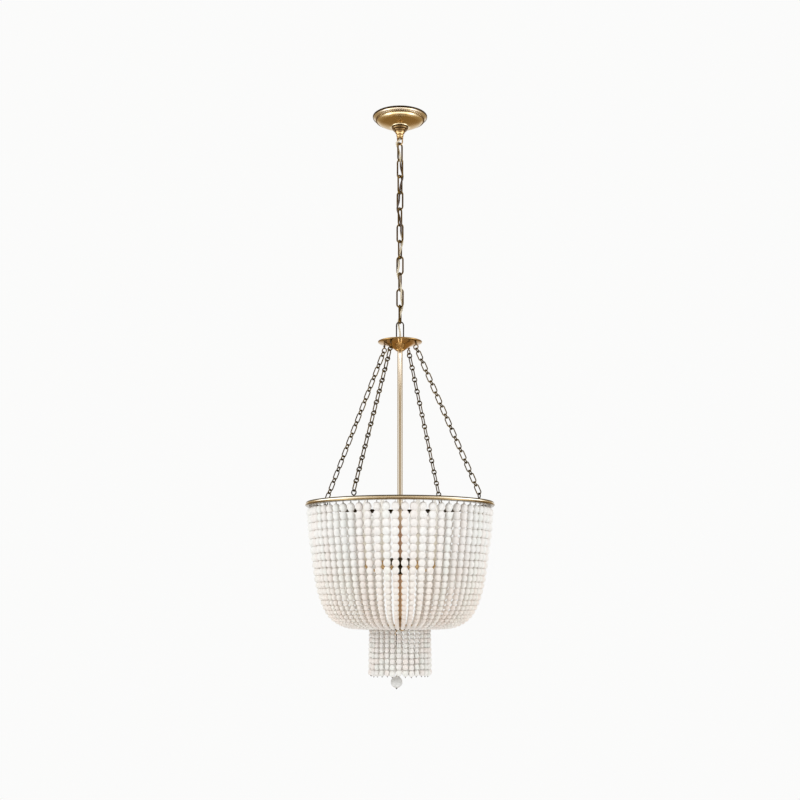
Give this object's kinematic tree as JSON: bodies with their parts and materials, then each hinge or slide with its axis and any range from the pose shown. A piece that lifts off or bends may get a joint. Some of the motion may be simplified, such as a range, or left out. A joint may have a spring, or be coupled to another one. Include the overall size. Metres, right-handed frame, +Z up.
{
  "type": "chandelier",
  "caption": "Hanging bowl of graduated ivory bead strands under a brass hoop, with a bead fringe, candle lamps inside, slanted chains, a crown disc and a cord-woven chain to a round canopy.",
  "frame": {"origin": "on the ceiling plane, at the centre of the crossbar's top face, above the chain", "axes": "+Z up, -Y towards the viewer, +X to the right"},
  "size_m": [0.5, 0.5, 1.5152],
  "materials": {
    "satin_steel": "zinc plated, satin",
    "antique_brass": "antique brass, brushed and lacquered",
    "dark_bronze": "dark antique bronze, satin",
    "champagne_cord": "pale champagne gold sleeve",
    "ivory_bead": "white washed, matt",
    "sleeve_cream": "matt candle sleeve",
    "bulb_glass": "frosted",
    "frosted_ball": "frosted, pale grey"
  },
  "bodies": {
    "ceiling_mount": {"ceiling_crossbar": "satin_steel", "crossbar_screw_1": "satin_steel", "crossbar_screw_2": "satin_steel", "threaded_nipple": "satin_steel", "canopy_loop": "antique_brass"},
    "canopy_cover": {"canopy": "antique_brass"},
    "canopy_collar": {"screw_collar": "antique_brass"},
    "top_link": {"chain_link_01": "dark_bronze", "supply_cord_top": "champagne_cord"},
    "upper_chain": {"chain_link_02": "dark_bronze", "chain_link_03": "dark_bronze", "chain_link_04": "dark_bronze", "chain_link_05": "dark_bronze", "chain_link_06": "dark_bronze", "chain_link_07": "dark_bronze", "chain_link_08": "dark_bronze", "chain_link_09": "dark_bronze", "chain_link_10": "dark_bronze", "chain_link_11": "dark_bronze", "supply_cord": "champagne_cord"},
    "fixture": {"crown_loop": "antique_brass", "crown_disc": "antique_brass", "centre_rod": "antique_brass", "suspension_chain_1": "dark_bronze", "suspension_chain_2": "dark_bronze", "suspension_chain_3": "dark_bronze", "suspension_chain_4": "dark_bronze", "hoop": "antique_brass", "bead_panel_1": "ivory_bead", "bead_panel_2": "ivory_bead", "bead_panel_3": "ivory_bead", "bead_panel_4": "ivory_bead", "bead_panel_5": "ivory_bead", "bead_panel_6": "ivory_bead", "bead_panel_7": "ivory_bead", "bead_panel_8": "ivory_bead", "lamp_cluster": "dark_bronze", "candle_sleeve_1": "sleeve_cream", "candle_sleeve_2": "sleeve_cream", "candle_sleeve_3": "sleeve_cream", "candle_sleeve_4": "sleeve_cream", "candle_sleeve_5": "sleeve_cream", "candle_sleeve_6": "sleeve_cream", "lower_ring": "antique_brass", "bottom_cap": "antique_brass"},
    "finial_hook": {"finial_link": "dark_bronze"},
    "finial": {"finial_drop": "frosted_ball"},
    "fringe_1": {"fringe_panel_1": "ivory_bead"},
    "bulb_1": {"candle_bulb_1": "bulb_glass"},
    "fringe_2": {"fringe_panel_2": "ivory_bead"},
    "bulb_2": {"candle_bulb_2": "bulb_glass"},
    "fringe_3": {"fringe_panel_3": "ivory_bead"},
    "bulb_3": {"candle_bulb_3": "bulb_glass"},
    "fringe_4": {"fringe_panel_4": "ivory_bead"},
    "bulb_4": {"candle_bulb_4": "bulb_glass"},
    "fringe_5": {"fringe_panel_5": "ivory_bead"},
    "bulb_5": {"candle_bulb_5": "bulb_glass"},
    "fringe_6": {"fringe_panel_6": "ivory_bead"},
    "bulb_6": {"candle_bulb_6": "bulb_glass"}
  },
  "joints": [
    {"name": "canopy_drop", "type": "slide", "parent": "ceiling_mount", "child": "canopy_cover", "axis": [0, 0, -1], "range_m": [0, 0.06]},
    {"name": "collar_turn", "type": "hinge", "parent": "canopy_cover", "child": "canopy_collar", "pos_m": [0, 0, -0.034], "axis": [0, 0, 1], "continuous": true},
    {"name": "chain_sway_front", "type": "hinge", "parent": "ceiling_mount", "child": "top_link", "pos_m": [0, 0, -0.07475], "axis": [0.9397, -0.342, 0], "range_deg": [-6, 6]},
    {"name": "chain_sway_side", "type": "hinge", "parent": "top_link", "child": "upper_chain", "pos_m": [0, 0, -0.1181], "axis": [0.6428, 0.766, 0], "range_deg": [-6, 6]},
    {"name": "crown_sway_front", "type": "hinge", "parent": "upper_chain", "child": "fixture", "pos_m": [0, 0, -0.5429], "axis": [1, 0, 0], "range_deg": [-6, 6]},
    {"name": "finial_hook_swing", "type": "hinge", "parent": "fixture", "child": "finial_hook", "pos_m": [-0.009, 0, -1.3712], "axis": [1, 0, 0], "range_deg": [-15, 15]},
    {"name": "finial_swing", "type": "hinge", "parent": "finial_hook", "child": "finial", "pos_m": [-0.009, 0, -1.4013], "axis": [0, 1, 0], "range_deg": [-15, 15]},
    {"name": "fringe_1_swing", "type": "hinge", "parent": "fixture", "child": "fringe_1", "pos_m": [0.07352, 0.00514, -1.353], "axis": [0.0698, -0.9976, 0], "range_deg": [-0.7, 12]},
    {"name": "fringe_2_swing", "type": "hinge", "parent": "fixture", "child": "fringe_2", "pos_m": [0.03231, 0.06624, -1.353], "axis": [0.8988, -0.4384, 0], "range_deg": [-0.7, 12]},
    {"name": "fringe_3_swing", "type": "hinge", "parent": "fixture", "child": "fringe_3", "pos_m": [-0.04121, 0.0611, -1.353], "axis": [0.829, 0.5592, 0], "range_deg": [-0.7, 12]},
    {"name": "fringe_4_swing", "type": "hinge", "parent": "fixture", "child": "fringe_4", "pos_m": [-0.07352, -0.00514, -1.353], "axis": [-0.0698, 0.9976, 0], "range_deg": [-0.7, 12]},
    {"name": "fringe_5_swing", "type": "hinge", "parent": "fixture", "child": "fringe_5", "pos_m": [-0.03231, -0.06624, -1.353], "axis": [-0.8988, 0.4384, 0], "range_deg": [-0.7, 12]},
    {"name": "fringe_6_swing", "type": "hinge", "parent": "fixture", "child": "fringe_6", "pos_m": [0.04121, -0.0611, -1.353], "axis": [-0.829, -0.5592, 0], "range_deg": [-0.7, 12]},
    {"name": "bulb_1_turn", "type": "hinge", "parent": "fixture", "child": "bulb_1", "pos_m": [0.092, 0, -1.1085], "axis": [0, 0, 1], "range_deg": [0, 720]},
    {"name": "bulb_2_turn", "type": "hinge", "parent": "fixture", "child": "bulb_2", "pos_m": [0.046, 0.07967, -1.1085], "axis": [0, 0, 1], "range_deg": [0, 720]},
    {"name": "bulb_3_turn", "type": "hinge", "parent": "fixture", "child": "bulb_3", "pos_m": [-0.046, 0.07967, -1.1085], "axis": [0, 0, 1], "range_deg": [0, 720]},
    {"name": "bulb_4_turn", "type": "hinge", "parent": "fixture", "child": "bulb_4", "pos_m": [-0.092, 0, -1.1085], "axis": [0, 0, 1], "range_deg": [0, 720]},
    {"name": "bulb_5_turn", "type": "hinge", "parent": "fixture", "child": "bulb_5", "pos_m": [-0.046, -0.07967, -1.1085], "axis": [0, 0, 1], "range_deg": [0, 720]},
    {"name": "bulb_6_turn", "type": "hinge", "parent": "fixture", "child": "bulb_6", "pos_m": [0.046, -0.07967, -1.1085], "axis": [0, 0, 1], "range_deg": [0, 720]}
  ]
}
